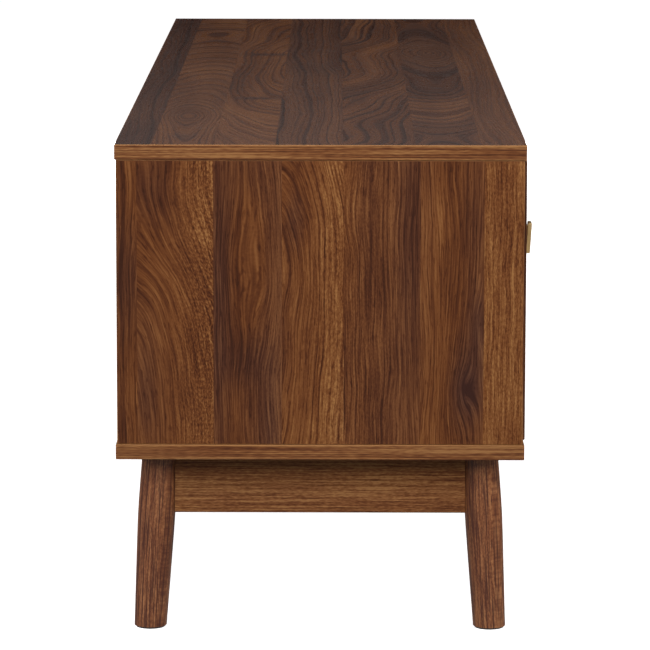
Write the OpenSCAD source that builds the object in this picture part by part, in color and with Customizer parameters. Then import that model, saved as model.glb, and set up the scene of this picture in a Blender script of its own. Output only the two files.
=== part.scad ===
// Low television stand: a laminated board cabinet with two hinged doors and an open
// middle bay, standing on four turned, splayed legs joined by aprons and rails.
// The front faces -Y and the length lies along X. The floor is at z = 0.

/* [Overall size] */
// Length of the top, left to right
body_l = 1500; // [1100:10:2000]
// Depth of the top, front to back
body_d = 400; // [320:5:520]
// Height from the floor to the top surface
body_h = 485; // [400:5:640]
// Height from the floor to the underside of the cabinet
leg_h = 175; // [130:5:240]

/* [Boards] */
// Thickness of the cabinet boards
board_t = 15; // [12:0.5:20]
// Rounding of the banded board edges
edge_r = 1; // [0.5:0.1:1.5]
// How far a side panel stands in from the end of the top
end_inset = 1; // [0:0.5:4]
// How far the uprights stand in from the front of the top
front_inset = 2; // [1:0.5:6]
// How far the side panels stand in from the back of the top
back_inset = 1.5; // [0:0.5:4]
// Clear width of the open middle bay
centre_bay_w = 480; // [320:5:640]

/* [Back panel] */
// Thickness of the hardboard back
back_t = 3; // [2.5:0.5:6]
// Distance of the back's groove from the rear edge of a side panel
groove_inset = 8; // [6:1:20]
// Depth of the grooves that hold the back
groove_depth = 5; // [3:0.5:7]
// Free play of the back in its grooves
groove_play = 0.2; // [0.1:0.1:0.5]
// Diameter of the cable holes in the back
cable_hole_d = 50; // [35:1:70]
// Distance of a cable hole's middle from the top or the floor of the cabinet
cable_hole_edge = 66; // [50:1:90]

/* [Shelves] */
// Distance of the cupboard shelves' front edge from the front of the top
shelf_setback = 42; // [36:1:90]
// Distance of the middle shelf's front edge from the front of the top
centre_shelf_setback = 12; // [5:1:60]
// Free play at each end of a shelf
shelf_play = 0.75; // [0.5:0.25:2]
// Diameter of the shelf pins
shelf_pin_d = 5; // [4:0.5:6]
// Depth of the shelf pin holes
pin_hole_depth = 7; // [4:0.5:7]
// Distance between neighbouring shelf pin holes
pin_pitch = 32; // [25:1:40]

/* [Doors] */
// Thickness of a door
door_t = 15; // [14:0.5:20]
// Gap round a closed door
door_gap = 2; // [1.5:0.5:4]
// How far a door's face stands in front of the edge of the top
door_proud = 1; // [0:0.5:2]
// Distance of the pivot line from the door's hinged edge
pivot_inset = 16; // [15:0.5:24]
// Diameter of the pivot pins
pivot_d = 5; // [4:0.5:6]
// Radial clearance of a pivot pin in its bush
pivot_play = 0.05; // [0.02:0.01:0.1]
// Length of a pivot bush inside the door
bush_l = 12; // [8:1:16]

/* [Pulls] */
// How far the pull stands out from the door
pull_reach = 26.5; // [22:0.5:40]
// Width of the pull's head
pull_w = 22; // [16:1:30]
// Height of the pull's head
pull_h = 33; // [20:1:60]
// Thickness of the pull's head
pull_t = 4; // [3:0.5:6]
// How far the head's lower edge leans in towards the door
pull_lean = 2; // [0:0.5:4]
// Distance of the pull from the door's free edge
pull_inset = 34; // [24:1:60]
// How far the pull's middle lies above the door's middle
pull_lift = 3; // [-40:1:40]

/* [Base] */
// Distance of a leg's top from the end of the cabinet
leg_inset_x = 45; // [32:1:120]
// Distance of a leg's top from the front or back of the cabinet
leg_inset_y = 41.5; // [30:0.5:80]
// Outward lean of a leg in each direction, degrees
leg_splay = 3.2; // [0:0.1:6]
// Radius of a leg at its thickest
leg_r = 18.5; // [16:0.1:24]
// Distance of the leg's thickest place below the cabinet
leg_belly = 60; // [30:1:90]
// Loss of radius per millimetre away from the thickest place
leg_taper = 0.025; // [0.01:0.001:0.04]
// Height of the aprons and rails
apron_h = 60; // [40:1:80]
// Thickness of the aprons and rails
apron_t = 18; // [15:0.5:20]
// Thickness of the glide under each foot
glide_t = 2; // [1.5:0.5:4]

/* [Hidden] */
$fn = 48;
CUT = 1;    // how far a cutter runs past the face that it opens

walnut = "#6b4328";
walnut_top = "#5b4034";
walnut_leg = "#6b4630";
hardboard = "#5a4030";
brass = "#b8935a";
steel = "#b4b6b8";
zinc = "#9a9c9e";
nylon = "#e8e6df";
black_plastic = "#1c1b1a";
beech = "#d2b27e";

// Faces of the cabinet. The pulls stand in front of the top, and the origin lies
// under the middle of the whole footprint, pulls included.
pull_out = pull_reach + door_proud;
front_y = (pull_out - body_d) / 2;
back_y = front_y + body_d;
mid_y = (front_y + back_y) / 2;
end_x = body_l / 2;
floor_z = leg_h + board_t;
ceil_z = body_h - board_t;
upright_h = ceil_z - floor_z;
side_x = end_x - end_inset;
side_in = side_x - board_t;
part_in = centre_bay_w / 2;
part_out = part_in + board_t;
upright_front = front_y + front_inset;
side_back = back_y - back_inset;

// Back panel and its grooves
back_rear = side_back - groove_inset;
back_front = back_rear - back_t;
groove_w = back_t + groove_play;
groove_y = back_front - groove_play / 2;
back_over = groove_depth - 2 * groove_play;
cable_high_z = ceil_z - cable_hole_edge;
cable_low_z = floor_z + cable_hole_edge;
cable_far_x = (side_in + part_out) / 2;
CABLE_HOLES = [
    [-cable_far_x, cable_high_z], [cable_far_x, cable_high_z],
    [0, cable_high_z], [0, cable_low_z]
];
grommet_wall = 3;
grommet_lip = 4;
grommet_lip_t = 1.5;
nail_d = 1.5;
nail_l = 18;
nail_head_d = 3.5;
nail_head_t = 0.6;
NAIL_RISES = [30, upright_h / 2, upright_h - 30];

// Shelves, half way up the cabinet, each on four pins
shelf_z = floor_z + (upright_h - board_t) / 2;
shelf_back = back_front - 2;
pin_out = 8;
pin_z = shelf_z - shelf_pin_d / 2;
pin_back_y = back_front - 50;
pin_front_y = front_y + shelf_setback + 40;
PIN_ROWS = [-1, 0, 1];

// Uprights: dowels and cams at the top, dowels and screws at the bottom
fix_front_y = front_y + 60;
fix_back_y = back_front - 55;
dowel_shift = 32;
dowel_d = 8;
dowel_l = 30;
dowel_in_board = 9;
cam_d = 15;
cam_t = 11.5;
cam_drop = 24;
cam_bolt_d = 6;
cam_bolt_up = 10;
confirmat_head_d = 10;
confirmat_head_t = 2.5;
confirmat_neck_d = 7;
confirmat_d = 5;
confirmat_l = 50;

// Doors
door_w = side_in - part_out - 2 * door_gap;
door_h = upright_h - 2 * door_gap;
door_x = -side_in + door_gap;
door_z = floor_z + door_gap;
door_front = front_y - door_proud;
door_back = door_front + door_t;
door_edge_x = door_x + door_w;
pivot_x = door_x + pivot_inset;
pivot_y = door_front + door_t / 2;
flange_t = (door_gap - 0.1) / 2;
flange_d = 12;
bush_d = 9;
pin_end_play = 1.5;
pin_in_board = 9;

// Pulls
pull_x = door_edge_x - pull_inset;
pull_z = door_z + door_h / 2 + pull_lift;
neck_w = 10;
neck_h = pull_h - 6;
rose_w = 15;
rose_t = 2;
pull_corner_r = 2;
pull_chamfer = 0.7;
pull_screw_d = 4;
pull_screw_in = 14;
screw_head_d = 8;
screw_head_t = 2.5;

// Magnetic catches under the top, and their plates on the doors
catch_w = 46;
catch_d = 14;
catch_h = 13;
catch_x = door_edge_x - 60;
plate_w = 34;
plate_h = 10;
plate_t = 1;
plate_play = 0.1;
pole_out = 0.5;
catch_front = door_back + plate_t + plate_play + pole_out;
magnet_w = 22;
magnet_d = 7;
magnet_h = 7;
catch_mid_z = ceil_z - catch_h / 2;
catch_screw_x = 17;
small_screw_d = 3;
small_head_d = 6;
small_head_t = 1.8;
small_screw_in = 10;
plate_screw_in = 9;
plate_screw_head_d = 5.5;

// Base
leg_x = -(end_x - leg_inset_x);
leg_over = 8;
leg_soft = 15;
leg_steps = 26;
cope_play = 0.3;
insert_d = 11;
insert_l = 12;
leg_bolt_d = 8;
leg_bolt_l = 37;
foot_drop = leg_h - glide_t;
foot_shift_x = foot_drop * tan(leg_splay);
foot_shift_y = foot_shift_x / cos(leg_splay);
glide_r = 14.6;
glide_nail_d = 2.5;
glide_nail_l = 14;
base_dowel_z = leg_h - apron_h * 2 / 3;
base_dowel_start = 6;
bracket_leg = 20;
bracket_w = 16;
bracket_t = 2;
bracket_hole = 12;
bracket_screw_d = 3.5;
bracket_head_d = 7;
bracket_head_t = 2;
bracket_screw_in = 11;

// ---------------------------------------------------------------- shared shapes

// What stands on the left, and its mirror image on the right
module both_ends() {
    children();
    mirror([1, 0, 0]) children();
}

module round_rect(w, h, r) {
    translate([r, 0]) square([w - 2 * r, h]);
    translate([0, r]) square([w, h - 2 * r]);
    for (x = [r, w - r], y = [r, h - r]) {
        translate([x, y]) circle(r);
    }
}

// A box with every edge rounded
module board(size, r = edge_r) {
    intersection() {
        linear_extrude(size.z) round_rect(size.x, size.y, r);
        rotate([90, 0, 90]) linear_extrude(size.x) round_rect(size.y, size.z, r);
        translate([0, size.y, 0]) rotate([90, 0, 0])
            linear_extrude(size.y) round_rect(size.x, size.z, r);
    }
}

// A headed screw along +Z: its head lies below z = 0 and its shank above it
module screw(d, l, head_d, head_t) {
    translate([0, 0, -head_t]) cylinder(d = head_d, h = head_t);
    cylinder(d = d, h = l);
}

// ---------------------------------------------------------------- fixings of the uprights

// Where an upright's fixings lie: one of each kind near the front and near the back
module at_fixings(x) {
    for (y = [fix_front_y, fix_back_y]) {
        translate([x, y, 0]) children();
    }
}

// Dowels of one upright, in its top and bottom edges
module upright_dowels(x) {
    for (y = [fix_front_y + dowel_shift, fix_back_y - dowel_shift]) {
        translate([x, y, floor_z - dowel_in_board]) cylinder(d = dowel_d, h = dowel_l);
        translate([x, y, ceil_z + dowel_in_board - dowel_l])
            cylinder(d = dowel_d, h = dowel_l);
    }
}

// Screws that come up through the bottom panel into one upright
module upright_screws(x) {
    at_fixings(x) {
        translate([0, 0, leg_h]) cylinder(d = confirmat_head_d, h = confirmat_head_t);
        translate([0, 0, leg_h]) cylinder(d = confirmat_neck_d, h = board_t);
        translate([0, 0, leg_h]) cylinder(d = confirmat_d, h = confirmat_l);
    }
}

// Bolts that hang from the top panel down into one upright's cams
module upright_cam_bolts(x) {
    at_fixings(x) translate([0, 0, ceil_z - cam_drop])
        cylinder(d = cam_bolt_d, h = cam_drop + cam_bolt_up);
}

// Cams of one upright, let into the face at x + half a board, which points to +X
module upright_cams(x) {
    at_fixings(x) translate([board_t / 2 - cam_t, 0, ceil_z - cam_drop])
        rotate([0, 90, 0]) cylinder(d = cam_d, h = cam_t);
}

// The two uprights of the left half, each as a place for its middle plane
side_mid = -(side_in + board_t / 2);
part_mid = -(part_in + board_t / 2);

// ---------------------------------------------------------------- shelf pins

// Pins or pin holes on the face at x, going into it by depth and out of it by out.
// facing is 1 where the face looks to +X and -1 where it looks to -X.
module pins_on_face(x, facing, depth, out, rows) {
    for (y = [pin_front_y, pin_back_y], row = rows) {
        translate([x, y, pin_z + row * pin_pitch]) rotate([0, facing * 90, 0])
            translate([0, 0, -depth]) cylinder(d = shelf_pin_d, h = depth + out);
    }
}

// ---------------------------------------------------------------- cabinet boards

// The groove for the back in the top or bottom panel, from groove to groove of the sides
module long_groove(z) {
    reach = side_in + groove_depth;
    translate([-reach, groove_y, z]) cube([2 * reach, groove_w, groove_depth + CUT]);
}

module top_panel() {
    color(walnut_top) difference() {
        translate([-end_x, front_y, ceil_z]) board([body_l, body_d, board_t]);
        long_groove(ceil_z - CUT);
        both_ends() {
            for (x = [side_mid, part_mid]) {
                upright_dowels(x);
                upright_cam_bolts(x);
            }
            pivot_pin(upper = true);
            catch_screw_pair();
        }
    }
}

module bottom_panel() {
    color(walnut) difference() {
        translate([-end_x, front_y, leg_h]) board([body_l, body_d, board_t]);
        long_groove(floor_z - groove_depth);
        both_ends() {
            for (x = [side_mid, part_mid]) {
                upright_dowels(x);
                upright_screws(x);
            }
            pivot_pin(upper = false);
            for (back = [false, true]) {
                at_leg_top(back) translate([0, 0, -CUT])
                    cylinder(d = insert_d, h = insert_l + CUT);
            }
        }
        bracket_screw_set();
    }
}

module side_panel() {
    color(walnut) difference() {
        translate([-side_x, upright_front, floor_z])
            board([board_t, side_back - upright_front, upright_h]);
        translate([-side_in - groove_depth, groove_y, floor_z - CUT])
            cube([groove_depth + CUT, groove_w, upright_h + 2 * CUT]);
        upright_dowels(side_mid);
        upright_screws(side_mid);
        upright_cam_bolts(side_mid);
        upright_cams(side_mid);
        pins_on_face(-side_in, 1, pin_hole_depth, CUT, PIN_ROWS);
    }
}

module partition() {
    color(walnut) difference() {
        translate([-part_out, upright_front, floor_z])
            board([board_t, back_front - upright_front, upright_h]);
        upright_dowels(part_mid);
        upright_screws(part_mid);
        upright_cam_bolts(part_mid);
        upright_cams(part_mid);
        pins_on_face(-part_in, 1, pin_hole_depth, CUT, PIN_ROWS);
        pins_on_face(-part_out, -1, pin_hole_depth, CUT, PIN_ROWS);
        partition_nails();
    }
}

// Nails that go through the back into the rear edge of one partition
module partition_nails() {
    for (rise = NAIL_RISES) {
        translate([part_mid, back_rear, floor_z + rise]) rotate([90, 0, 0])
            screw(nail_d, nail_l, nail_head_d, nail_head_t);
    }
}

module back_panel() {
    color(hardboard) difference() {
        translate([-side_in - back_over, back_front, floor_z - back_over])
            cube([2 * (side_in + back_over), back_t, upright_h + 2 * back_over]);
        both_ends() partition_nails();
        for (hole = CABLE_HOLES) {
            translate([hole.x, back_rear + CUT, hole.y]) rotate([90, 0, 0])
                cylinder(d = cable_hole_d, h = back_t + 2 * CUT);
        }
    }
}

module back_nails() {
    color(steel) both_ends() partition_nails();
}

// A ring snapped through the back, with a lip on each side of it
module cable_grommets() {
    sleeve_r = cable_hole_d / 2;
    inner_r = sleeve_r - grommet_wall;
    color(black_plastic) for (hole = CABLE_HOLES) {
        translate([hole.x, back_front, hole.y]) rotate([-90, 0, 0]) rotate_extrude() {
            translate([inner_r, -grommet_lip_t])
                square([grommet_wall, back_t + 2 * grommet_lip_t]);
            translate([inner_r, back_t])
                square([grommet_wall + grommet_lip, grommet_lip_t]);
            translate([inner_r, -grommet_lip_t])
                square([grommet_wall + 1, grommet_lip_t]);
        }
    }
}

// ---------------------------------------------------------------- shelves

module shelf(x0, x1, setback) {
    color(walnut) translate([x0 + shelf_play, front_y + setback, shelf_z])
        board([x1 - x0 - 2 * shelf_play, shelf_back - front_y - setback, board_t]);
}

module shelf_pins() {
    color(steel) both_ends() {
        pins_on_face(-side_in, 1, pin_hole_depth, pin_out, [0]);
        pins_on_face(-part_in, 1, pin_hole_depth, pin_out, [0]);
        pins_on_face(-part_out, -1, pin_hole_depth, pin_out, [0]);
    }
}

// ---------------------------------------------------------------- hidden joints

module dowels() {
    color(beech) both_ends() for (x = [side_mid, part_mid]) {
        upright_dowels(x);
    }
}

module cam_locks() {
    color(zinc) both_ends() for (x = [side_mid, part_mid]) {
        difference() {
            upright_cams(x);
            upright_cam_bolts(x);
            cam_drive_slots(x);
        }
    }
}

// The screwdriver slot in each cam's face
module cam_drive_slots(x) {
    slot_l = 9;
    slot_w = 1.6;
    slot_depth = 1.5;
    at_fixings(x) translate([board_t / 2 - slot_depth, 0, ceil_z - cam_drop])
        translate([0, -slot_l / 2, -slot_w / 2]) cube([slot_depth + CUT, slot_l, slot_w]);
}

module cam_bolts() {
    color(zinc) both_ends() for (x = [side_mid, part_mid]) {
        upright_cam_bolts(x);
    }
}

module confirmat_screws() {
    color(zinc) both_ends() for (x = [side_mid, part_mid]) {
        upright_screws(x);
    }
}

// ---------------------------------------------------------------- doors

// A pin pressed into a panel, with a collar that the door's bush turns against
module pivot_pin(upper) {
    reach = door_gap + bush_l - pin_end_play;
    base_z = upper ? ceil_z : floor_z;
    turn = upper ? 180 : 0;
    translate([pivot_x, pivot_y, base_z]) rotate([turn, 0, 0]) {
        translate([0, 0, -pin_in_board]) cylinder(d = pivot_d, h = pin_in_board + reach);
        cylinder(d = flange_d, h = flange_t);
    }
}

// The outside of a bush: a sleeve inside the door's edge, and a flange under it
module bush_body(upper) {
    base_z = upper ? door_z + door_h : door_z;
    turn = upper ? 180 : 0;
    translate([pivot_x, pivot_y, base_z]) rotate([turn, 0, 0]) {
        cylinder(d = bush_d, h = bush_l);
        translate([0, 0, -flange_t]) cylinder(d = flange_d, h = flange_t);
    }
}

module bush_bore(upper) {
    base_z = upper ? door_z + door_h : door_z;
    turn = upper ? 180 : 0;
    translate([pivot_x, pivot_y, base_z]) rotate([turn, 0, 0])
        translate([0, 0, -flange_t - CUT])
            cylinder(d = pivot_d + 2 * pivot_play, h = flange_t + CUT + bush_l - 1);
}

module door() {
    color(walnut) difference() {
        translate([door_x, door_front, door_z]) board([door_w, door_t, door_h]);
        bush_body(false);
        bush_body(true);
        translate([pull_x, door_front - CUT, pull_z]) rotate([-90, 0, 0])
            cylinder(d = pull_screw_d, h = door_t + 2 * CUT);
        strike_screw_pair();
    }
}

module pivot_pins() {
    color(steel) both_ends() {
        pivot_pin(false);
        pivot_pin(true);
    }
}

module pivot_bushes() {
    color(nylon) for (upper = [false, true]) {
        difference() {
            bush_body(upper);
            bush_bore(upper);
        }
    }
}

// ---------------------------------------------------------------- pulls

// Side outline of the pull's head, seen along X: y is negative away from the door
module pull_head_outline() {
    half = pull_h / 2;
    c = pull_chamfer;
    lean = pull_lean;
    polygon([
        [-pull_reach, half - c], [-pull_reach + c, half],
        [-pull_reach + pull_t - c, half], [-pull_reach + pull_t, half - c],
        [-pull_reach + lean + pull_t, c - half], [-pull_reach + lean + pull_t - c, -half],
        [-pull_reach + lean + c, -half], [-pull_reach + lean, c - half]
    ]);
}

module pull_head() {
    intersection() {
        translate([-pull_w / 2, 0, 0]) rotate([90, 0, 90])
            linear_extrude(pull_w) pull_head_outline();
        translate([-pull_w / 2, 0, -pull_h / 2]) rotate([90, 0, 0])
            linear_extrude(pull_reach) round_rect(pull_w, pull_h, pull_corner_r);
    }
}

// The pull is a T seen from above: a flat head on a narrow neck, with a rose at the door
module pull() {
    neck_l = pull_reach - pull_t / 2;
    color(brass) translate([pull_x, door_front, pull_z]) difference() {
        union() {
            pull_head();
            translate([-neck_w / 2, -neck_l + pull_lean, -neck_h / 2])
                board([neck_w, neck_l - pull_lean, neck_h], pull_chamfer);
            translate([-rose_w / 2, -rose_t, -pull_h / 2])
                board([rose_w, rose_t, pull_h], pull_chamfer);
        }
        rotate([90, 0, 0]) translate([0, 0, -CUT])
            cylinder(d = pull_screw_d, h = pull_screw_in + CUT);
    }
}

module pull_screw() {
    color(zinc) translate([pull_x, door_back, pull_z]) rotate([90, 0, 0])
        screw(pull_screw_d, door_t + pull_screw_in - 1, screw_head_d, screw_head_t);
}

// ---------------------------------------------------------------- catches

module magnet_block() {
    translate([catch_x - magnet_w / 2, catch_front - pole_out, catch_mid_z - magnet_h / 2])
        cube([magnet_w, magnet_d, magnet_h]);
}

// The two screws that hold one catch under the top
module catch_screw_pair() {
    seat = catch_h - small_head_t;
    for (x = [catch_x - catch_screw_x, catch_x + catch_screw_x]) {
        translate([x, catch_front + catch_d / 2, ceil_z - seat])
            screw(small_screw_d, seat + small_screw_in, small_head_d, small_head_t);
    }
}

module catch_housing() {
    difference() {
        translate([catch_x - catch_w / 2, catch_front, ceil_z - catch_h])
            board([catch_w, catch_d, catch_h], 0.8);
        magnet_block();
        catch_screw_pair();
    }
}

module catch_housings() {
    color(nylon) both_ends() catch_housing();
}

module catch_magnets() {
    color(zinc) both_ends() magnet_block();
}

module catch_screws() {
    color(zinc) both_ends() catch_screw_pair();
}

// The screws of a strike plate, with their heads let into it
module strike_screw_pair() {
    for (side = [-1, 1]) {
        translate([catch_x + side * plate_w / 3, door_back + plate_t, catch_mid_z])
            rotate([90, 0, 0]) {
                cylinder(d = plate_screw_head_d, h = plate_t);
                cylinder(d = small_screw_d, h = plate_t + plate_screw_in);
            }
    }
}

module strike_plate() {
    color(zinc) difference() {
        translate([catch_x - plate_w / 2, door_back, catch_mid_z - plate_h / 2])
            board([plate_w, plate_t, plate_h], 0.3);
        strike_screw_pair();
    }
}

// ---------------------------------------------------------------- base

function leg_y(back) = mid_y + (back ? 1 : -1) * (body_d / 2 - leg_inset_y);

// Radius of a leg at distance s below the cabinet: two tapers, blended at the belly
function leg_radius(s) =
    leg_r - leg_taper * (sqrt(pow(s - leg_belly, 2) + pow(leg_soft, 2)) - leg_soft);

module at_leg_top(back) {
    translate([leg_x, leg_y(back), leg_h]) children();
}

// The turned leg before its ends are cut level, enlarged by grow
module leg_blank(back, grow = 0) {
    total = leg_h + 2 * leg_over;
    outline = [for (i = [0:leg_steps])
        let (s = i * total / leg_steps - leg_over)
        [leg_radius(s) + grow, -s]];
    at_leg_top(back) rotate([(back ? 1 : -1) * leg_splay, leg_splay, 0])
        rotate_extrude($fn = 96)
            polygon(concat([[0, leg_over]], outline, [[0, leg_over - total]]));
}

module leg(back) {
    slab = 4 * leg_r + 2 * foot_shift_x;
    color(walnut_leg) difference() {
        intersection() {
            leg_blank(back);
            translate([leg_x - slab / 2, leg_y(back) - slab / 2, glide_t])
                cube([slab, slab, foot_drop]);
        }
        leg_bolt(back);
        glide_nail(back);
        leg_dowels(back);
    }
}

// The bolt stands upright, half in the panel's insert and the rest in the leg
module leg_bolt(back) {
    at_leg_top(back) translate([0, 0, insert_l - leg_bolt_l])
        cylinder(d = leg_bolt_d, h = leg_bolt_l);
}

module leg_inserts() {
    color(zinc) both_ends() for (back = [false, true]) {
        at_leg_top(back) difference() {
            cylinder(d = insert_d, h = insert_l);
            translate([0, 0, -CUT]) cylinder(d = leg_bolt_d, h = insert_l + 2 * CUT);
        }
    }
}

module leg_bolts() {
    color(zinc) both_ends() for (back = [false, true]) {
        leg_bolt(back);
    }
}

module at_foot(back) {
    translate([leg_x - foot_shift_x, leg_y(back) + (back ? 1 : -1) * foot_shift_y, 0])
        children();
}

module glide_nail(back) {
    at_foot(back) translate([0, 0, glide_t]) cylinder(d = glide_nail_d, h = glide_nail_l);
}

// A hard plastic disc with a rounded rim, and the nail moulded into it
module foot_glides() {
    rim = glide_t / 2;
    color(black_plastic) both_ends() for (back = [false, true]) {
        at_foot(back) rotate_extrude() {
            square([glide_r - rim, glide_t]);
            translate([0, rim]) square([glide_r, glide_t - rim]);
            translate([glide_r - rim, rim]) circle(rim);
        }
        glide_nail(back);
    }
}

// Dowels from one leg into its apron and its rail, below the leg's bolt
module leg_dowels(back) {
    drop = leg_h - base_dowel_z;
    shift = drop * tan(leg_splay);
    inward = back ? 90 : -90;
    at_leg_top(back) translate([-shift, (back ? 1 : -1) * shift, -drop]) {
        for (turn = [[inward, 0, 0], [0, 90, 0]]) {
            rotate(turn) translate([0, 0, base_dowel_start])
                cylinder(d = dowel_d, h = dowel_l);
        }
    }
}

module base_dowels() {
    color(beech) both_ends() for (back = [false, true]) {
        leg_dowels(back);
    }
}

// The board across one end, from leg to leg, coped to fit round them
module apron() {
    color(walnut) difference() {
        translate([leg_x - apron_t / 2, leg_y(false), leg_h - apron_h])
            board([apron_t, leg_y(true) - leg_y(false), apron_h]);
        for (back = [false, true]) {
            leg_blank(back, cope_play);
            leg_dowels(back);
        }
        bracket_screw_set();
    }
}

// The board along the front or the back, from leg to leg
module rail(back) {
    color(walnut) difference() {
        translate([leg_x, leg_y(back) - apron_t / 2, leg_h - apron_h])
            board([-2 * leg_x, apron_t, apron_h]);
        both_ends() {
            leg_blank(back, cope_play);
            leg_dowels(back);
        }
        bracket_screw_set();
    }
}

// ---------------------------------------------------------------- brackets of the base

// An angle bracket stands in the corner at the origin: one leg down, one along +X
module at_brackets() {
    across = (leg_y(true) - leg_y(false)) / 4;
    along = -leg_x / 2;
    both_ends() for (side = [-1, 1]) {
        translate([leg_x + apron_t / 2, mid_y + side * across, leg_h]) children();
    }
    for (x = [-along, 0, along], back = [false, true]) {
        face = leg_y(back) + (back ? -1 : 1) * apron_t / 2;
        translate([x, face, leg_h]) rotate([0, 0, back ? -90 : 90]) children();
    }
}

module bracket_screw_pair() {
    translate([bracket_hole, 0, -bracket_t])
        screw(bracket_screw_d, bracket_t + bracket_screw_in, bracket_head_d, bracket_head_t);
    translate([bracket_t, 0, -bracket_hole]) rotate([0, -90, 0])
        screw(bracket_screw_d, bracket_t + bracket_screw_in, bracket_head_d, bracket_head_t);
}

module bracket_screw_set() {
    at_brackets() bracket_screw_pair();
}

module bracket() {
    difference() {
        translate([0, -bracket_w / 2, 0]) union() {
            translate([0, 0, -bracket_leg]) cube([bracket_t, bracket_w, bracket_leg]);
            translate([0, 0, -bracket_t]) cube([bracket_leg, bracket_w, bracket_t]);
        }
        bracket_screw_pair();
    }
}

module brackets() {
    color(zinc) at_brackets() bracket();
}

module bracket_screws() {
    color(zinc) bracket_screw_set();
}

// ---------------------------------------------------------------- nodes

top_panel();
bottom_panel();
side_panel();  // side_panel_left
mirror([1, 0, 0]) side_panel();  // side_panel_right
partition();  // partition_left
mirror([1, 0, 0]) partition();  // partition_right
back_panel();
back_nails();
cable_grommets();
shelf(-side_in, -part_out, shelf_setback);  // shelf_left
shelf(-part_in, part_in, centre_shelf_setback);  // shelf_centre
shelf(part_out, side_in, shelf_setback);  // shelf_right
shelf_pins();
dowels();
cam_locks();
cam_bolts();
confirmat_screws();
door();  // door_left
mirror([1, 0, 0]) door();  // door_right
pull();  // handle_left
mirror([1, 0, 0]) pull();  // handle_right
pull_screw();  // handle_screw_left
mirror([1, 0, 0]) pull_screw();  // handle_screw_right
pivot_pins();
pivot_bushes();  // pivot_bushes_left
mirror([1, 0, 0]) pivot_bushes();  // pivot_bushes_right
catch_housings();
catch_magnets();
catch_screws();
strike_plate();  // strike_plate_left
mirror([1, 0, 0]) strike_plate();  // strike_plate_right
color(zinc) strike_screw_pair();  // strike_screws_left
color(zinc) mirror([1, 0, 0]) strike_screw_pair();  // strike_screws_right
leg(false);  // leg_front_left
mirror([1, 0, 0]) leg(false);  // leg_front_right
leg(true);  // leg_back_left
mirror([1, 0, 0]) leg(true);  // leg_back_right
foot_glides();
leg_inserts();
leg_bolts();
apron();  // apron_left
mirror([1, 0, 0]) apron();  // apron_right
rail(false);  // rail_front
rail(true);  // rail_back
base_dowels();
brackets();
bracket_screws();
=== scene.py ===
"""Television stand with doors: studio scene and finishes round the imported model.

Every CAD node keeps its mesh and gets a procedural finish. Lengths are in metres, +Z is up,
the doors face -Y, and the camera looks at the left end, along +X.
"""

import math
import random
from collections import namedtuple

import bpy
from mathutils import Matrix, Vector


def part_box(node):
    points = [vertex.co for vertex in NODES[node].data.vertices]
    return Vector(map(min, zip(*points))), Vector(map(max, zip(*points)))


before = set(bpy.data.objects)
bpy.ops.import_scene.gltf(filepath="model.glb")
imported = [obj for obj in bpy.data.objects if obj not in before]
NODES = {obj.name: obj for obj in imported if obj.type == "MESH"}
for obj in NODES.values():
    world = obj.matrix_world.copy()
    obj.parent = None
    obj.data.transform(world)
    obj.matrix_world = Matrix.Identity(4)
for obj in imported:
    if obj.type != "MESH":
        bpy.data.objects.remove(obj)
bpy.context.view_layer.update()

# ------------------------------------------------------------------ camera and studio

CAMERA_PLACE = Vector((-4.5701, -0.00075, 0.9181))
CAMERA_PITCH = math.radians(9.061)
CAMERA_YAW = math.radians(0.148)
CAMERA_ROLL = math.radians(0.115)
CAMERA_LENS = 220.1
# How bright the studio is as a light, overhead and at the horizon
SKY_HIGH = 0.30
SKY_LOW = 0.08
# How bright glossy faces see it overhead, beyond the left end and below the horizon
GLOSS_ABOVE = 0.6
GLOSS_BESIDE = 0.6
GLOSS_BELOW = 0.40
FLOOR_HALF = 60
FLOOR_GLOW = 0.74
WHITE = (1, 1, 1, 1)
# name, place, target, width, height, watts, and whether glossy faces reflect it
LAMPS = [
    ("key", (-3.4, 0, 2.2), (-0.75, 0, 0.35), 2.4, 1.9, 101, False),
    ("fill", (-5.2, 0, 1.4), (-0.75, 0, 0.3), 3.0, 2.0, 8, False),
    ("overhead", (-0.9, 0, 3.4), (-0.9, 0, 0.4), 2.6, 2.0, 12, True),
    ("front", (-0.2, -4.0, 1.1), (0, 0, 0.3), 3.4, 1.4, 95, False),
    ("rear", (-0.2, 4.0, 1.1), (0, 0, 0.3), 3.4, 1.4, 95, False),
    ("far_end", (3.6, 0, 0.26), (0.75, 0, 0.28), 2.4, 0.5, 45, False),
    ("sheen", (2.0, 0, 1.25), (-0.75, 0, 0.485), 1.4, 0.5, 0.8, True),
]


def make_camera():
    """A long lens at the left end, a little above the top."""
    ahead = Vector((
        math.cos(CAMERA_PITCH) * math.cos(CAMERA_YAW),
        math.cos(CAMERA_PITCH) * math.sin(CAMERA_YAW),
        -math.sin(CAMERA_PITCH),
    ))
    right = ahead.cross(Vector((0, 0, 1))).normalized()
    up = right.cross(ahead)
    tilted_right = right * math.cos(CAMERA_ROLL) + up * math.sin(CAMERA_ROLL)
    tilted_up = up * math.cos(CAMERA_ROLL) - right * math.sin(CAMERA_ROLL)
    axes = Matrix((tilted_right, tilted_up, -ahead)).transposed()
    data = bpy.data.cameras.new("camera")
    data.lens = CAMERA_LENS
    data.clip_end = 100
    camera = bpy.data.objects.new("camera", data)
    camera.matrix_world = Matrix.Translation(CAMERA_PLACE) @ axes.to_4x4()
    bpy.context.scene.collection.objects.link(camera)
    bpy.context.scene.camera = camera


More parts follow.
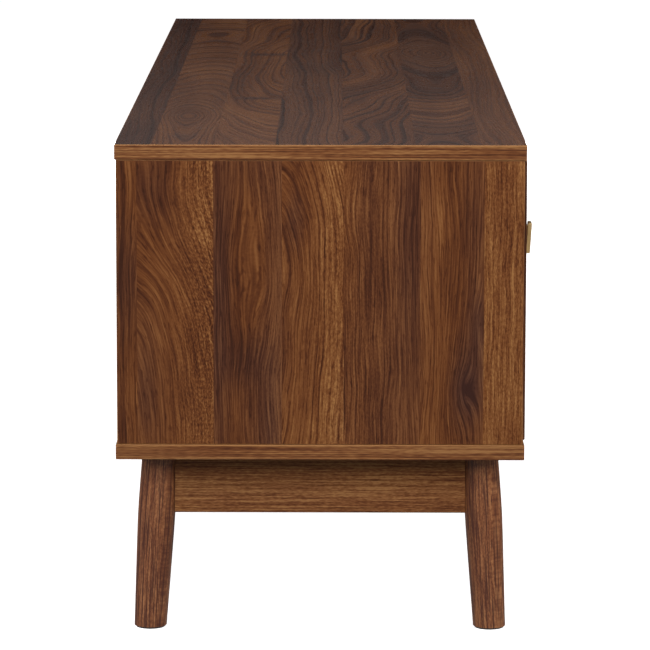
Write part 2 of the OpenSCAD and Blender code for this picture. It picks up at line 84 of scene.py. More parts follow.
def make_softbox(name, place, target, width, height, power, mirrored):
    """A rectangular lamp that the camera doesn't see."""
    data = bpy.data.lights.new(name, "AREA")
    data.shape = "RECTANGLE"
    data.size, data.size_y = width, height
    data.energy = power
    lamp = bpy.data.objects.new(name, data)
    lamp.location = place
    aim = Vector(target) - Vector(place)
    lamp.rotation_mode = "QUATERNION"
    lamp.rotation_quaternion = aim.to_track_quat("-Z", "Y")
    lamp.visible_camera = False
    lamp.visible_glossy = mirrored
    bpy.context.scene.collection.objects.link(lamp)


def make_world():
    """White to the eye. As a light it is soft from above, and dim at and below the horizon."""
    world = bpy.data.worlds.new("studio")
    world.use_nodes = True
    bpy.context.scene.world = world
    world.node_tree.nodes.clear()
    g = Graph(world.node_tree)
    seen = g.add("Background")
    seen.inputs["Color"].default_value = WHITE
    split = g.add("SeparateXYZ")
    g.feed(split.inputs[0], g.add("TexCoord").outputs["Generated"])
    path = g.add("LightPath")
    x, _, z = split.outputs
    diffuse = g.spread(z, -0.1, 0.3, SKY_LOW, SKY_HIGH)
    above = g.spread(z, 0.50, 0.90, 0.0, GLOSS_ABOVE)
    beside = g.spread(x, -0.9, 0.5, GLOSS_BESIDE, 0.0)
    below = g.spread(z, -0.30, -0.03, GLOSS_BELOW, 0.0)
    gloss = g.plus(g.plus(above, beside), below)
    light = g.add("Background")
    light.inputs["Color"].default_value = WHITE
    share = path.outputs["Is Glossy Ray"]
    level = g.plus(g.times(gloss, share), g.times(diffuse, g.math("SUBTRACT", 1.0, share)))
    g.feed(light.inputs["Strength"], level)
    mix = g.add("MixShader")
    out = g.add("OutputWorld")
    g.feed(mix.inputs[0], path.outputs["Is Camera Ray"])
    g.feed(mix.inputs[1], light.outputs[0])
    g.feed(mix.inputs[2], seen.outputs[0])
    g.feed(out.inputs["Surface"], mix.outputs[0])


def make_floor():
    """A pale floor that stays near white, with only a faint shadow."""
    mesh = bpy.data.meshes.new("floor")
    corners = [(FLOOR_HALF * x, FLOOR_HALF * y, 0) for x, y in ((-1, -1), (1, -1), (1, 1), (-1, 1))]
    mesh.from_pydata(corners, [], [(0, 1, 2, 3)])
    floor = bpy.data.objects.new("floor", mesh)
    bpy.context.scene.collection.objects.link(floor)
    finish = Finish("floor")
    finish.set("Base Color", (0.9, 0.9, 0.9, 1))
    finish.set("Roughness", 1.0)
    finish.set("Specular IOR Level", 0.0)
    finish.set("Emission Color", WHITE)
    finish.set("Emission Strength", FLOOR_GLOW)
    mesh.materials.append(finish.material)
    floor.visible_diffuse = False
    floor.visible_glossy = False


# ------------------------------------------------------------------ node helpers


def linear(code):
    """A colour such as '6b4328', as linear red, green and blue."""
    parts = [int(code[i:i + 2], 16) / 255 for i in (0, 2, 4)]
    return tuple(c / 12.92 if c <= 0.04045 else ((c + 0.055) / 1.055) ** 2.4 for c in parts)


class Graph:
    """Short forms for making and joining shader nodes in one tree."""

    def __init__(self, tree):
        self.tree = tree

    def add(self, kind, **settings):
        node = self.tree.nodes.new("ShaderNode" + kind)
        for key, value in settings.items():
            setattr(node, key, value)
        return node

    def feed(self, socket, value):
        if isinstance(value, bpy.types.NodeSocket):
            self.tree.links.new(value, socket)
        elif value is not None:
            socket.default_value = value

    def math(self, operation, *values, clamp=False):
        node = self.add("Math", operation=operation, use_clamp=clamp)
        for socket, value in zip(node.inputs, values):
            self.feed(socket, value)
        return node.outputs[0]

    def plus(self, a, b):
        return self.math("ADD", a, b)

    def times(self, a, b):
        return self.math("MULTIPLY", a, b)

    def swing(self, noise, size):
        """Noise from 0 to 1, moved to lie round 0 and scaled."""
        return self.times(self.plus(noise, -0.5), size)

    def vector(self, x, y=0.0, z=0.0):
        node = self.add("CombineXYZ")
        for socket, value in zip(node.inputs, (x, y, z)):
            self.feed(socket, value)
        return node.outputs[0]

    def noise(self, vector, scale=1.0, detail=2.0, rough=0.5, distortion=0.0):
        """Noise from 0 to 1 with its middle near 0.5."""
        node = self.add("TexNoise")
        self.feed(node.inputs["Vector"], vector)
        node.inputs["Scale"].default_value = scale
        node.inputs["Detail"].default_value = detail
        node.inputs["Roughness"].default_value = rough
        node.inputs["Distortion"].default_value = distortion
        return node.outputs["Fac"]

    def noise_line(self, w, detail=2.0, rough=0.5):
        """Noise along one number."""
        node = self.add("TexNoise", noise_dimensions="1D")
        self.feed(node.inputs["W"], w)
        node.inputs["Scale"].default_value = 1.0
        node.inputs["Detail"].default_value = detail
        node.inputs["Roughness"].default_value = rough
        return node.outputs["Fac"]

    def streaks(self, x, y, z, thin, long, **look):
        """Noise drawn out upright: thin and long say how fine it is across and along."""
        spot = self.vector(self.times(x, thin), self.times(y, thin), self.times(z, long))
        return self.noise(spot, **look)

    def spread(self, value, low, high, to_low=0.0, to_high=1.0, smooth=False):
        """value, stretched from low..high to to_low..to_high and held inside it."""
        node = self.add("MapRange", interpolation_type="SMOOTHSTEP" if smooth else "LINEAR")
        for name, number in (("Value", value), ("From Min", low), ("From Max", high),
                             ("To Min", to_low), ("To Max", to_high)):
            self.feed(node.inputs[name], number)
        return node.outputs[0]

    def ramp(self, value, stops, constant=False):
        """stops is a list of (place, colour). Returns the node, for its colour and alpha."""
        node = self.add("ValToRGB")
        band = node.color_ramp
        band.interpolation = "CONSTANT" if constant else "LINEAR"
        while len(band.elements) > 1:
            band.elements.remove(band.elements[0])
        band.elements[0].position = stops[0][0]
        for place, _ in stops[1:]:
            band.elements.new(place)
        for element, (_, colour) in zip(band.elements, stops):
            element.color = colour if len(colour) == 4 else (*colour, 1)
        self.feed(node.inputs[0], value)
        return node

    def blend(self, share, a, b, kind="MIX"):
        """Colour a turning into colour b as share goes from 0 to 1."""
        node = self.add("Mix", data_type="RGBA", blend_type=kind)
        self.feed(node.inputs[0], share)
        for socket, value in ((node.inputs[6], a), (node.inputs[7], b)):
            flat = isinstance(value, tuple) and len(value) == 3
            self.feed(socket, (*value, 1) if flat else value)
        return node.outputs[2]


class Finish(Graph):
    """One material: a Principled shader and the nodes that feed it."""

    def __init__(self, name):
        self.material = bpy.data.materials.new(name)
        self.material.use_nodes = True
        super().__init__(self.material.node_tree)
        self.tree.nodes.clear()
        self.shader = self.add("BsdfPrincipled")
        out = self.add("OutputMaterial")
        self.tree.links.new(self.shader.outputs[0], out.inputs["Surface"])

    def place(self):
        """The object's own coordinates, in metres, as three numbers."""
        split = self.add("SeparateXYZ")
        self.feed(split.inputs[0], self.add("TexCoord").outputs["Object"])
        return split.outputs

    def walnut(self, **values):
        """The walnut group, with a value for each of its inputs."""
        figure = self.add("Group", node_tree=WALNUT_GROUP)
        for name in FIGURE_INPUTS:
            self.feed(figure.inputs[name], values[name])
        return figure

    def set(self, name, value):
        self.feed(self.shader.inputs[name], value)

    def bump(self, height, distance, strength=1.0):
        node = self.add("Bump")
        node.inputs["Distance"].default_value = distance
        node.inputs["Strength"].default_value = strength
        self.feed(node.inputs["Height"], height)
        self.set("Normal", node.outputs[0])


# ------------------------------------------------------------------ walnut

WARM = [
    (0.00, linear("371a0b")),
    (0.22, linear("492512")),
    (0.42, linear("5c3319")),
    (0.60, linear("6d4021")),
    (0.80, linear("80522d")),
    (1.00, linear("97693d")),
]
COOL = [
    (0.00, linear("331b14")),
    (0.22, linear("45281d")),
    (0.42, linear("573727")),
    (0.60, linear("684530")),
    (0.80, linear("7a5339")),
    (1.00, linear("8f6848")),
]
FIGURE_INPUTS = ("across", "along", "heart", "depth", "slope", "plank", "tone", "flecks",
                 "rings", "cool", "push", "wander", "grain")


RINGS_PER_METRE = 170.0
# How far rings stray, in metres: in wide bends, in ripples and in depth
SWAY = 0.030
RIPPLE = 0.0035
SWELL = 0.045
# How far each part of the figure moves the tone
LATE_SHADE = -0.42
WIDE_SHADE = 0.46
FIBRE_SHADE = 1.35
DASH_SHADE = 1.7
CLOUD_SHADE = 0.50
PORE_SHADE = -0.22


def walnut_group():
    """Sawn walnut, from metres across and along a board.

    Growth rings lie round a line that is at heart across the board, and depth + slope * along
    below its face, so they show as arches, ovals or straight lines. push bends them round a
    knot, rings and grain say how strongly rings and fibres show, and flecks how far the fibres
    break into dashes."""
    tree = bpy.data.node_groups.new("walnut", "ShaderNodeTree")
    for name in FIGURE_INPUTS:
        tree.interface.new_socket(name, in_out="INPUT", socket_type="NodeSocketFloat")
    tree.interface.new_socket("colour", in_out="OUTPUT", socket_type="NodeSocketColor")
    tree.interface.new_socket("height", in_out="OUTPUT", socket_type="NodeSocketFloat")
    g = Graph(tree)
    given = tree.nodes.new("NodeGroupInput").outputs
    across, along, plank = given["across"], given["along"], given["plank"]

    # The log bends and swells, so its rings wander.
    sway = g.noise(g.vector(g.times(across, 9.0), g.times(along, 4.5), plank), detail=2.0)
    ripple = g.noise(g.vector(g.times(across, 60.0), g.times(along, 22.0), plank), detail=1.0)
    bend = g.plus(g.swing(sway, SWAY), g.swing(ripple, RIPPLE))
    sideways = g.plus(g.math("SUBTRACT", across, given["heart"]), g.times(bend, given["wander"]))
    swell = g.noise_line(g.plus(g.times(along, 6.0), plank), detail=1.0)
    swell = g.times(g.swing(swell, SWELL), given["wander"])
    depth = g.plus(g.plus(given["depth"], g.times(given["slope"], along)), swell)
    ring = g.math("SQRT", g.plus(g.times(sideways, sideways), g.times(depth, depth)))
    ring = g.plus(ring, given["push"])

    # Each year ends in a dark line, and years differ in width and strength.
    uneven = g.times(g.noise_line(g.plus(g.times(ring, 60.0), plank)), 2.4)
    year = g.plus(g.times(ring, RINGS_PER_METRE), uneven)
    part = g.math("FRACT", year)
    late = g.times(g.spread(part, 0.45, 0.90, smooth=True), g.spread(part, 0.93, 1.0, 1.0, 0.0))
    depth_of_line = g.spread(g.noise_line(g.plus(g.math("FLOOR", year), plank)), 0.3, 0.7, 0.15, 1.0)
    late = g.times(g.times(late, depth_of_line), given["rings"])
    wide = g.noise_line(g.plus(g.times(ring, 30.0), plank), detail=1.5)

    # Fibres and pores follow the rings.
    fibre = g.noise(g.vector(g.times(ring, 640.0), g.times(along, 16.0), plank), detail=1.5, rough=0.8)
    dash = g.noise(g.vector(g.times(ring, 900.0), g.times(along, 330.0), plank), detail=1.0, rough=0.6)
    pores = g.noise(g.vector(g.times(ring, 760.0), g.times(along, 90.0), plank), detail=1.0)
    pores = g.spread(pores, 0.58, 0.70)
    cloud = g.noise(g.vector(g.times(across, 22.0), g.times(along, 7.0), plank), detail=2.0)

    value = given["tone"]
    for change in (g.times(late, LATE_SHADE),
                   g.swing(wide, g.times(given["rings"], WIDE_SHADE)),
                   g.times(g.swing(fibre, given["grain"]), FIBRE_SHADE),
                   g.times(g.swing(dash, given["flecks"]), DASH_SHADE),
                   g.swing(cloud, CLOUD_SHADE),
                   g.times(pores, PORE_SHADE)):
        value = g.plus(value, change)

    hue = g.noise(g.vector(g.times(ring, 24.0), g.times(along, 2.2), g.plus(plank, 9.0)), detail=1.0)
    cool = g.math("ADD", given["cool"], g.swing(hue, 0.8), clamp=True)
    colour = g.blend(cool, g.ramp(value, WARM).outputs[0], g.ramp(value, COOL).outputs[0])

    out = tree.nodes.new("NodeGroupOutput")
    g.feed(out.inputs["colour"], colour)
    height = g.plus(g.times(fibre, 0.6), g.times(dash, 0.4))
    g.feed(out.inputs["height"], g.plus(height, g.times(pores, -0.5)))
    return tree


# One stave of a laminated board. left and right are its tones along its two edges.
Stave = namedtuple("Stave", "width heart depth slope left right flecks_left flecks_right rings cool")
# A place where a stave is darker or lighter: offset and half sizes in metres. push bends the rings.
Patch = namedtuple("Patch", "stave across along half_width half_height shade push cool")
FIELD_RANGES = {
    "heart": (-0.4, 0.6), "depth": (-0.5, 0.5), "slope": (-0.5, 0.5), "left": (0.0, 1.0),
    "right": (0.0, 1.0), "flecks_left": (0.0, 2.0), "flecks_right": (0.0, 2.0), "rings": (0.0, 2.0),
    "cool": (0.0, 1.0), "number": (0.0, 20.0), "start": (0.0, 1.0), "width": (0.0, 0.5),
}


# How near a stave's number has to be to a patch's, how fast a patch fades from its middle,
# and how far apart the figures of neighbouring staves are taken
MATCH = 0.3
PATCH_FALLOFF = -0.9
STAVE_STEP = 3.7


def stave_values(finish, share, staves):
    """The values of the stave that lies at this share of the board's width."""
    total = sum(stave.width for stave in staves)
    rows, edge = [], 0.0
    for number, stave in enumerate(staves):
        rows.append({**stave._asdict(), "number": number, "start": edge / total})
        edge += stave.width
    found = {}
    names = list(FIELD_RANGES)
    for first in range(0, len(names), 4):
        four = names[first:first + 4]
        stops = []
        for row in rows:
            code = tuple((row[name] - low) / (high - low)
                         for name, (low, high) in ((name, FIELD_RANGES[name]) for name in four))
            stops.append((row["start"], code))
        ramp = finish.ramp(share, stops, constant=True)
        split = finish.add("SeparateColor")
        finish.feed(split.inputs[0], ramp.outputs["Color"])
        for name, code in zip(four, (*split.outputs, ramp.outputs["Alpha"])):
            low, high = FIELD_RANGES[name]
            found[name] = finish.plus(finish.times(code, high - low), low)
    return found


def walnut_board(name, across, along, staves, patches=(), rough=0.48, gloss=0.15, wander=1.0,
                 stretch=1.0, grain=1.0, relief=0.00012):
    """A laminated board printed with joined staves.

    across and along are (axis, start, sign): the distance from start along that axis. stretch
    below 1 draws the figure out along the board."""
    finish = Finish(name)
    spot = finish.place()
    u = finish.times(finish.plus(spot[across[0]], -across[1]), across[2])
    v = finish.times(finish.plus(spot[along[0]], -along[1]), along[2])
    total = sum(stave.width for stave in staves)
    share = finish.math("FRACT", finish.times(u, 1 / total))
    value = stave_values(finish, share, staves)
    inside = finish.times(finish.math("SUBTRACT", share, value["start"]), total)
    part = finish.math("DIVIDE", inside, value["width"])
    tone = finish.spread(part, 0.0, 1.0, value["left"], value["right"])
    flecks = finish.spread(part, 0.4, 0.9, value["flecks_left"], value["flecks_right"])
    push, cool = 0.0, value["cool"]
    for patch in patches:
        x = finish.times(finish.plus(inside, -patch.across), 1 / patch.half_width)
        y = finish.times(finish.plus(v, -patch.along), 1 / patch.half_height)
        reach = finish.math("POWER", math.e, finish.times(
            finish.plus(finish.times(x, x), finish.times(y, y)), PATCH_FALLOFF))
        here = finish.math("COMPARE", value["number"], patch.stave, MATCH)
        reach = finish.times(reach, here)
        tone = finish.plus(tone, finish.times(reach, patch.shade))
        cool = finish.plus(cool, finish.times(reach, patch.cool))
        push = finish.plus(push, finish.times(reach, patch.push))
    # No two boards and no two staves share a figure.
    plank = finish.plus(finish.times(value["number"], STAVE_STEP), len(name) + 0.37 * ord(name[-1]))
    figure = finish.walnut(
        across=inside, along=finish.times(v, stretch), heart=value["heart"], depth=value["depth"],
        slope=value["slope"], plank=plank, tone=tone, flecks=flecks, rings=value["rings"],
        cool=cool, push=push, wander=wander, grain=grain)
    height = figure.outputs["height"]
    finish.set("Base Color", figure.outputs["colour"])
    finish.set("Roughness", finish.spread(height, 0.2, 0.8, rough + 0.08, rough - 0.06))
    finish.set("Specular IOR Level", gloss)
    finish.bump(height, relief, 0.5)
    return finish.material


NARROW_STAVE, WIDE_STAVE = 0.056, 0.080
# A strip narrower than this joins the stave beside it.
LEAST_STAVE = 0.02


def random_staves(seed, total):
    """Staves of mixed widths, figures and tones that fill a board of this width."""
    pick = random.Random(seed)
    staves, used = [], 0.0
    while used < total - 0.002:
        width = min(pick.uniform(NARROW_STAVE, WIDE_STAVE), total - used)
        if total - used - width < LEAST_STAVE:
            width = total - used
        heart = pick.choice((-0.15, -0.01, 0.5 * width, 0.6 * width, width + 0.01, width + 0.15))
        slope = pick.choice((-0.22, -0.12, 0.12, 0.22))
        depth = -slope * pick.choice((-0.2, -0.1, 0.10, 0.34, 0.45))
        tone = pick.uniform(0.34, 0.62)
        staves.append(Stave(width, heart, depth, slope, tone + pick.uniform(-0.08, 0.08),
                            tone + pick.uniform(-0.08, 0.08), pick.uniform(0, 0.6),
                            pick.uniform(0, 1.0), pick.uniform(0.4, 1.0), pick.uniform(0.0, 0.6)))
        used += width
    return staves


def edge_band(name, across, along, highlight_heights=(), tone=0.67):
    """Edge banding: fine straight grain along the edge. Each height given gets a painted highlight: a
    paler rim just under that top edge.
    """
    finish = Finish(name)
    spot = finish.place()
    u, v = spot[across], spot[along]
    wave = finish.noise(finish.vector(finish.times(u, 70.0), finish.times(v, 5.0)), detail=1.0)
    bent = finish.plus(u, finish.times(wave, 0.0014))
    grain = finish.noise(finish.vector(finish.times(bent, 600.0), finish.times(v, 4.0)),
                         detail=1.0, rough=0.7)
    fine = finish.noise(finish.vector(finish.times(bent, 1000.0), finish.times(v, 90.0)), detail=1.0)
    value = finish.plus(finish.swing(grain, 2.1), tone)
    value = finish.plus(value, finish.swing(fine, 0.9))
    value = finish.plus(value, finish.swing(wave, 0.35))
    # Painted highlight: a paler line just under each top edge, where overhead light would catch the
    # rounded edge.
    for highlight_height in highlight_heights:
        value = finish.plus(value, finish.spread(u, highlight_height - 0.0012, highlight_height - 0.0006, 0.0, 0.6))
        value = finish.plus(value, finish.spread(u, highlight_height + 0.0004, highlight_height + 0.0006, 0.0, -0.6))
    colour = finish.blend(finish.spread(wave, 0.2, 0.8, 0.0, 0.3),
                          finish.ramp(value, WARM).outputs[0], finish.ramp(value, COOL).outputs[0])
    finish.set("Base Color", colour)
    finish.set("Roughness", finish.spread(grain, 0.2, 0.8, 0.52, 0.42))
    finish.set("Specular IOR Level", 0.2)
    finish.bump(grain, 0.00008, 0.5)
    return finish.material


# The stain takes a little green out of the wood.
LEG_STAIN = (1.0, 0.90, 1.0)


def turned_walnut(name, top, lean, tone):
    """Stained solid wood, grain along a leaning leg. top is the middle of the leg's top."""
    finish = Finish(name)
    mapping = finish.add("Mapping", vector_type="TEXTURE")
    mapping.inputs["Location"].default_value = top
    mapping.inputs["Rotation"].default_value = lean
    finish.feed(mapping.inputs["Vector"], finish.add("TexCoord").outputs["Object"])
    split = finish.add("SeparateXYZ")
    finish.feed(split.inputs[0], mapping.outputs[0])
    x, y, z = split.outputs
    figure = finish.walnut(
        across=finish.plus(x, finish.times(y, 0.85)), along=z, heart=-0.05, depth=0.0, slope=0.04,
        plank=abs(10 * top[0] + 20 * top[1]), tone=tone, flecks=0.5, rings=0.5, cool=0.25,
        push=0.0, wander=0.6, grain=1.0)
    streak = finish.streaks(x, y, z, 480.0, 9.0, detail=1.5, rough=0.75)
    dash = finish.streaks(x, y, z, 800.0, 60.0, detail=1.0)
    dark = finish.math("MAXIMUM", finish.spread(streak, 0.38, 0.50, 0.9, 0.0),
                       finish.spread(dash, 0.58, 0.70, 0.0, 0.8))
    stained = finish.blend(1.0, figure.outputs["colour"], LEG_STAIN, "MULTIPLY")
    colour = finish.blend(dark, stained, linear("3d1f18"))
    finish.set("Base Color", colour)
    finish.set("Roughness", finish.spread(streak, 0.3, 0.7, 0.50, 0.38))
    finish.set("Specular IOR Level", 0.3)
    finish.bump(finish.plus(streak, figure.outputs["height"]), 0.00015, 0.6)
    return finish.material


# ------------------------------------------------------------------ other finishes


def hardboard_back():
    """The raw rear face of hardboard: a felted brown mat of fibres."""
    finish = Finish("hardboard_rear")
    spot = finish.add("TexCoord").outputs["Object"]
    mat = finish.noise(spot, scale=260.0, detail=4.0, rough=0.7)
    cloud = finish.noise(spot, scale=7.0, detail=3.0)
    value = finish.plus(finish.times(mat, 0.6), finish.times(cloud, 0.4))
    stops = [(0.3, linear("5a3c27")), (0.5, linear("76533a")), (0.7, linear("8f6a4c"))]
    finish.set("Base Color", finish.ramp(value, stops).outputs["Color"])
    finish.set("Roughness", finish.spread(mat, 0.3, 0.7, 0.75, 0.6))
    finish.set("Specular IOR Level", 0.3)
    finish.bump(mat, 0.0002, 0.6)
    return finish.material


def satin_brass():
    """Brushed brass, clouded a little by patina."""
    finish = Finish("satin_brass")
    x, y, z = finish.place()
    brush = finish.streaks(x, y, z, 900.0, 60.0, detail=3.0, rough=0.6)
    patina = finish.noise(finish.vector(x, y, z), scale=90.0, detail=3.0)
    value = finish.plus(finish.times(brush, 0.4), finish.times(patina, 0.6))
    stops = [(0.30, linear("b8955f")), (0.50, linear("d4b27c")), (0.72, linear("e8cd9b"))]
    finish.set("Base Color", finish.ramp(value, stops).outputs["Color"])
    finish.set("Metallic", 1.0)
    finish.set("Roughness", finish.spread(brush, 0.3, 0.7, 0.40, 0.54))
    finish.bump(brush, 0.00004, 0.4)
    return finish.material


def plated_steel(name, code, rough):
    """Zinc plate with a faint crystal bloom."""
    finish = Finish(name)
    spot = finish.add("TexCoord").outputs["Object"]
    bloom = finish.noise(spot, scale=340.0, detail=3.0, rough=0.6)
    shade = linear(code)
    stops = [(0.3, tuple(0.72 * c for c in shade)), (0.7, shade)]
    finish.set("Base Color", finish.ramp(bloom, stops).outputs["Color"])
    finish.set("Metallic", 1.0)
    finish.set("Roughness", finish.spread(bloom, 0.3, 0.7, rough, rough + 0.14))
    finish.bump(bloom, 0.00003, 0.3)
    return finish.material


def moulded_plastic(name, code, rough):
    """Moulded plastic with a fine spark-eroded grain."""
    finish = Finish(name)
    spot = finish.add("TexCoord").outputs["Object"]
    grain = finish.noise(spot, scale=1600.0, detail=2.0)
    cloud = finish.noise(spot, scale=60.0, detail=2.0)
    shade = linear(code)
    stops = [(0.3, tuple(0.86 * c for c in shade)), (0.7, shade)]
    finish.set("Base Color", finish.ramp(cloud, stops).outputs["Color"])
    finish.set("Roughness", finish.spread(grain, 0.3, 0.7, rough - 0.06, rough + 0.06))
    finish.bump(grain, 0.00005, 0.5)
    return finish.material


def plain_beech():
    """Dowel wood: pale, with short dark flecks."""
    finish = Finish("beech")
    spot = finish.add("TexCoord").outputs["Object"]
    fleck = finish.noise(spot, scale=420.0, detail=3.0, rough=0.6)
    stops = [(0.3, linear("b98f5d")), (0.7, linear("dcbb88"))]
    finish.set("Base Color", finish.ramp(fleck, stops).outputs["Color"])
    finish.set("Roughness", finish.spread(fleck, 0.3, 0.7, 0.6, 0.75))
    finish.bump(fleck, 0.0001, 0.5)
    return finish.material


# ------------------------------------------------------------------ putting finishes on


def paint(node, *materials, choose=None):
    """Gives a node its finishes. choose(normal) says which of them a face gets."""
    mesh = NODES[node].data
    mesh.materials.clear()
    for material in materials:
        mesh.materials.append(material)
    for face in mesh.polygons:
        face.material_index = choose(face.normal) if choose else 0


X, Y, Z = 0, 1, 2
# A face looks along an axis when its normal has at least this much of it.
FACE_LEVEL = 0.96


def faces_along(axis):
    """Faces that look along an axis get the first finish, and the banded edges the second."""
    return lambda normal: 0 if abs(normal[axis]) > FACE_LEVEL else 1


def board_faces(broad, end, side):
    """Broad faces get the first finish, edges at the ends the second, edges at the sides the third."""
    def choose(normal):
        if abs(normal[broad]) > FACE_LEVEL:
            return 0
        return 1 if abs(normal[end]) > abs(normal[side]) else 2
    return choose


make_camera()
make_world()
make_floor()
for lamp in LAMPS:
    make_softbox(*lamp)

WALNUT_GROUP = walnut_group()

# The left end, from the back edge to the front
END_STAVES = [
    Stave(0.0193, -0.150, 0.000, 0.02, 0.53, 0.46, 0.1, 0.1, 0.9, 0.1),
    Stave(0.0747, -0.030, 0.030, 0.24, 0.50, 0.60, 0.1, 0.9, 0.5, 0.0),
    Stave(0.0661, -0.120, 0.000, 0.08, 0.36, 0.50, 0.1, 0.2, 0.5, 0.2),
    Stave(0.0609, -0.010, -0.020, 0.20, 0.54, 0.70, 0.2, 0.6, 0.7, 0.0),
    Stave(0.0746, -0.160, 0.020, 0.05, 0.48, 0.44, 0.3, 0.1, 0.7, 0.2),
    Stave(0.0617, -0.120, 0.000, 0.03, 0.64, 0.48, 0.1, 0.1, 0.7, 0.0),
    Stave(0.0392, -0.150, 0.000, 0.01, 0.68, 0.74, 0.5, 0.5, 0.4, 0.0),
]
END_PATCHES = [
    Patch(0, 0.010, 0.165, 0.014, 0.050, -0.14, 0.0, 0.4),
    Patch(1, 0.012, 0.255, 0.018, 0.035, -0.12, 0.0, 0.3),
    Patch(1, 0.008, 0.050, 0.010, 0.045, -0.12, 0.0, 0.4),
    Patch(2, 0.036, 0.182, 0.014, 0.060, 0.18, 0.0, -0.6),
    Patch(2, 0.018, 0.175, 0.014, 0.070, -0.04, 0.008, 0.0),
    Patch(2, 0.054, 0.175, 0.014, 0.070, -0.06, -0.008, 0.0),
    Patch(2, 0.030, 0.082, 0.030, 0.022, -0.12, 0.0, 0.3),
    Patch(2, 0.056, 0.016, 0.010, 0.055, -0.16, 0.0, 0.4),
    Patch(2, 0.006, 0.150, 0.010, 0.090, -0.12, 0.0, 0.5),
    Patch(3, 0.014, 0.225, 0.009, 0.028, -0.20, 0.004, 0.5),
    Patch(4, 0.066, 0.200, 0.011, 0.110, -0.20, 0.0, 0.3),
    Patch(5, 0.032, 0.056, 0.016, 0.055, -0.02, 0.009, 0.0),
    Patch(5, 0.046, 0.054, 0.011, 0.022, -0.16, 0.007, 0.6),
    Patch(5, 0.048, 0.060, 0.016, 0.045, -0.26, 0.0, 0.6),
    Patch(5, 0.045, 0.056, 0.003, 0.005, -0.50, 0.0, 0.5),
    Patch(5, 0.057, 0.119, 0.009, 0.036, -0.24, 0.004, 0.6),
    Patch(5, 0.052, 0.215, 0.012, 0.050, -0.08, 0.0, 0.2),
]
TOP_STAVES = [
    Stave(0.0350, -0.140, 0.020, 0.03, 0.32, 0.26, 0.0, 0.0, 0.6, 0.6),
    Stave(0.0605, 0.035, -0.016, 0.34, 0.52, 0.56, 0.0, 0.0, 1.1, 0.15),
    Stave(0.0603, 0.070, -0.100, 0.34, 0.54, 0.64, 0.0, 0.1, 1.1, 0.05),
    Stave(0.0656, -0.050, 0.015, 0.07, 0.39, 0.43, 0.0, 0.0, 1.1, 0.4),
    Stave(0.0697, -0.040, 0.180, -0.30, 0.47, 0.48, 0.1, 0.1, 1.3, 0.2),
    Stave(0.0640, 0.030, -0.120, 0.34, 0.44, 0.46, 0.0, 0.0, 1.1, 0.3),
    Stave(0.0449, -0.150, 0.020, 0.02, 0.53, 0.55, 0.2, 0.2, 0.6, 0.15),
]
TOP_PATCHES = [
    Patch(1, 0.028, 0.075, 0.012, 0.025, -0.16, 0.0, 0.5),
    Patch(2, 0.036, 0.445, 0.024, 0.012, -0.34, 0.003, 0.5),
    Patch(2, 0.040, 0.967, 0.026, 0.016, -0.38, 0.003, 0.5),
    Patch(3, 0.034, 0.800, 0.040, 0.080, -0.12, 0.006, 0.3),
    Patch(5, 0.030, 1.250, 0.030, 0.120, -0.10, 0.0, 0.2),
]

top_low, top_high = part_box("top_panel")
side_low, side_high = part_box("side_panel_left")
door_low, door_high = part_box("door_left")

top_face = walnut_board("walnut_top", (Y, top_high.y, -1), (X, top_low.x, 1), TOP_STAVES,
                        TOP_PATCHES, rough=0.26, gloss=0.3, wander=1.6, stretch=0.35, grain=0.4,
                        relief=0.00002)
# The upper edges of the top and bottom panels get a painted highlight on their end bands.
end_band = edge_band("band_end", Z, Y, highlight_heights=(top_high.z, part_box("bottom_panel")[1].z))
long_band = edge_band("band_long", Z, X)
upright_band = edge_band("band_upright", X, Z)
# The doors' end edges get a darker copy of the edge band: painted shade standing for the shadow on
# them.
door_band_painted_shade = edge_band("band_door_painted_shade", Y, Z, tone=0.42)

# Widths that the staves of unseen boards fill
TOP_DEPTH = 0.4
SIDE_DEPTH = 0.3965
BACK_REPEAT = 0.5
MATT = {"rough": 0.56, "gloss": 0.06}
lying = board_faces(Z, X, Y)
hanging = board_faces(Y, X, Z)

paint("top_panel", top_face, end_band, long_band, choose=lying)
bottom_face = walnut_board("walnut_bottom", (Y, top_high.y, -1), (X, top_low.x, 1),
                           random_staves(5, TOP_DEPTH), **MATT)
paint("bottom_panel", bottom_face, end_band, long_band, choose=lying)

side_face = walnut_board("walnut_side", (Y, side_high.y, -1), (Z, side_low.z, 1),
                         END_STAVES, END_PATCHES)
paint("side_panel_left", side_face, upright_band, choose=faces_along(X))
far_face = walnut_board("walnut_side_far", (Y, side_low.y, 1), (Z, side_low.z, 1),
                        random_staves(11, SIDE_DEPTH))
paint("side_panel_right", far_face, upright_band, choose=faces_along(X))
inner_face = walnut_board("walnut_partition", (Y, side_low.y, 1), (Z, side_low.z, 1),
                          random_staves(23, SIDE_DEPTH))
for node in ("partition_left", "partition_right"):
    paint(node, inner_face, upright_band, choose=faces_along(X))

shelf_face = walnut_board("walnut_shelf", (Y, side_high.y, -1), (X, top_low.x, 1),
                          random_staves(31, TOP_DEPTH), **MATT)
for node in ("shelf_left", "shelf_centre", "shelf_right"):
    paint(node, shelf_face, end_band, long_band, choose=lying)

door_width = door_high.x - door_low.x
for node, seed in (("door_left", 41), ("door_right", 47)):
    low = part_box(node)[0]
    face = walnut_board("walnut_" + node, (X, low.x, 1), (Z, low.z, 1), random_staves(seed, door_width))
    paint(node, face, door_band_painted_shade, long_band, choose=hanging)

back_inside = walnut_board("walnut_back", (X, top_low.x, 1), (Z, side_low.z, 1),
                           random_staves(53, BACK_REPEAT))
paint("back_panel", back_inside, hardboard_back(), choose=lambda n: 0 if n.y < -0.5 else 1)

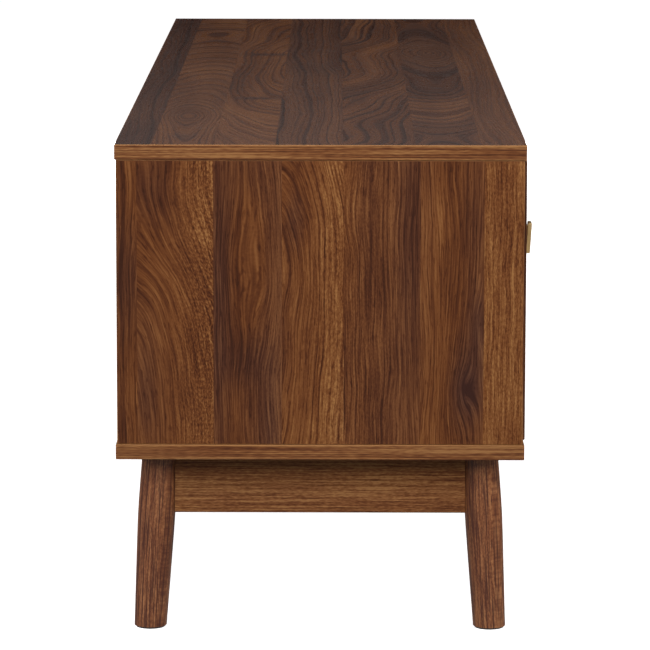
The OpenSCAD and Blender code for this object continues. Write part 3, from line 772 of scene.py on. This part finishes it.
# How far the legs lean, to the ends and to the front and back alike
LEAN = math.radians(3.2)
LEG_TONE = 0.78
for node, lean_y, lean_x in (("leg_front_left", -1, 1), ("leg_front_right", -1, -1),
                             ("leg_back_left", 1, 1), ("leg_back_right", 1, -1)):
    low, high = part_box(node)
    reach = high.z * math.tan(LEAN) / 2
    top = ((low.x + high.x) / 2 + lean_x * reach, (low.y + high.y) / 2 - lean_y * reach, high.z)
    # Front legs get a slightly lighter copy of the finish and back legs a darker one: painted light and
    # shade.
    tone = LEG_TONE - 0.03 * lean_y
    paint(node, turned_walnut("walnut_" + node, top, (lean_y * LEAN, lean_x * LEAN, 0), tone))

BASE_STAVE = [Stave(0.12, -0.12, 0.0, 0.02, 0.73, 0.73, 0.5, 0.5, 0.3, 0.1)]
# The base is of plain wood with nearly straight grain.
BASE_LOW = 0.10
CALM = {"wander": 0.2, "stretch": 0.6}
apron_wood = walnut_board("walnut_apron", (Z, BASE_LOW, 1), (Y, -0.2, 1), BASE_STAVE, **CALM)
rail_wood = walnut_board("walnut_rail", (Z, BASE_LOW, 1), (X, -0.8, 1), BASE_STAVE, **CALM)
for node in ("apron_left", "apron_right"):
    paint(node, apron_wood)
for node in ("rail_front", "rail_back"):
    paint(node, rail_wood)

brass = satin_brass()
zinc = plated_steel("zinc_plate", "b9babb", 0.28)
nylon = moulded_plastic("nylon", "e4e0d6", 0.45)
black = moulded_plastic("black_plastic", "1d1c1b", 0.42)
beech = plain_beech()
for node in ("handle_left", "handle_right"):
    paint(node, brass)
for node in ("back_nails", "shelf_pins", "cam_locks", "cam_bolts", "confirmat_screws",
             "handle_screw_left", "handle_screw_right", "pivot_pins", "catch_magnets", "catch_screws",
             "strike_plate_left", "strike_plate_right", "strike_screws_left", "strike_screws_right",
             "leg_inserts", "leg_bolts", "brackets", "bracket_screws"):
    paint(node, zinc)
for node in ("pivot_bushes_left", "pivot_bushes_right", "catch_housings"):
    paint(node, nylon)
for node in ("cable_grommets", "foot_glides"):
    paint(node, black)
for node in ("dowels", "base_dowels"):
    paint(node, beech)

view = bpy.context.scene.view_settings
view.view_transform = "Standard"
view.look = "None"
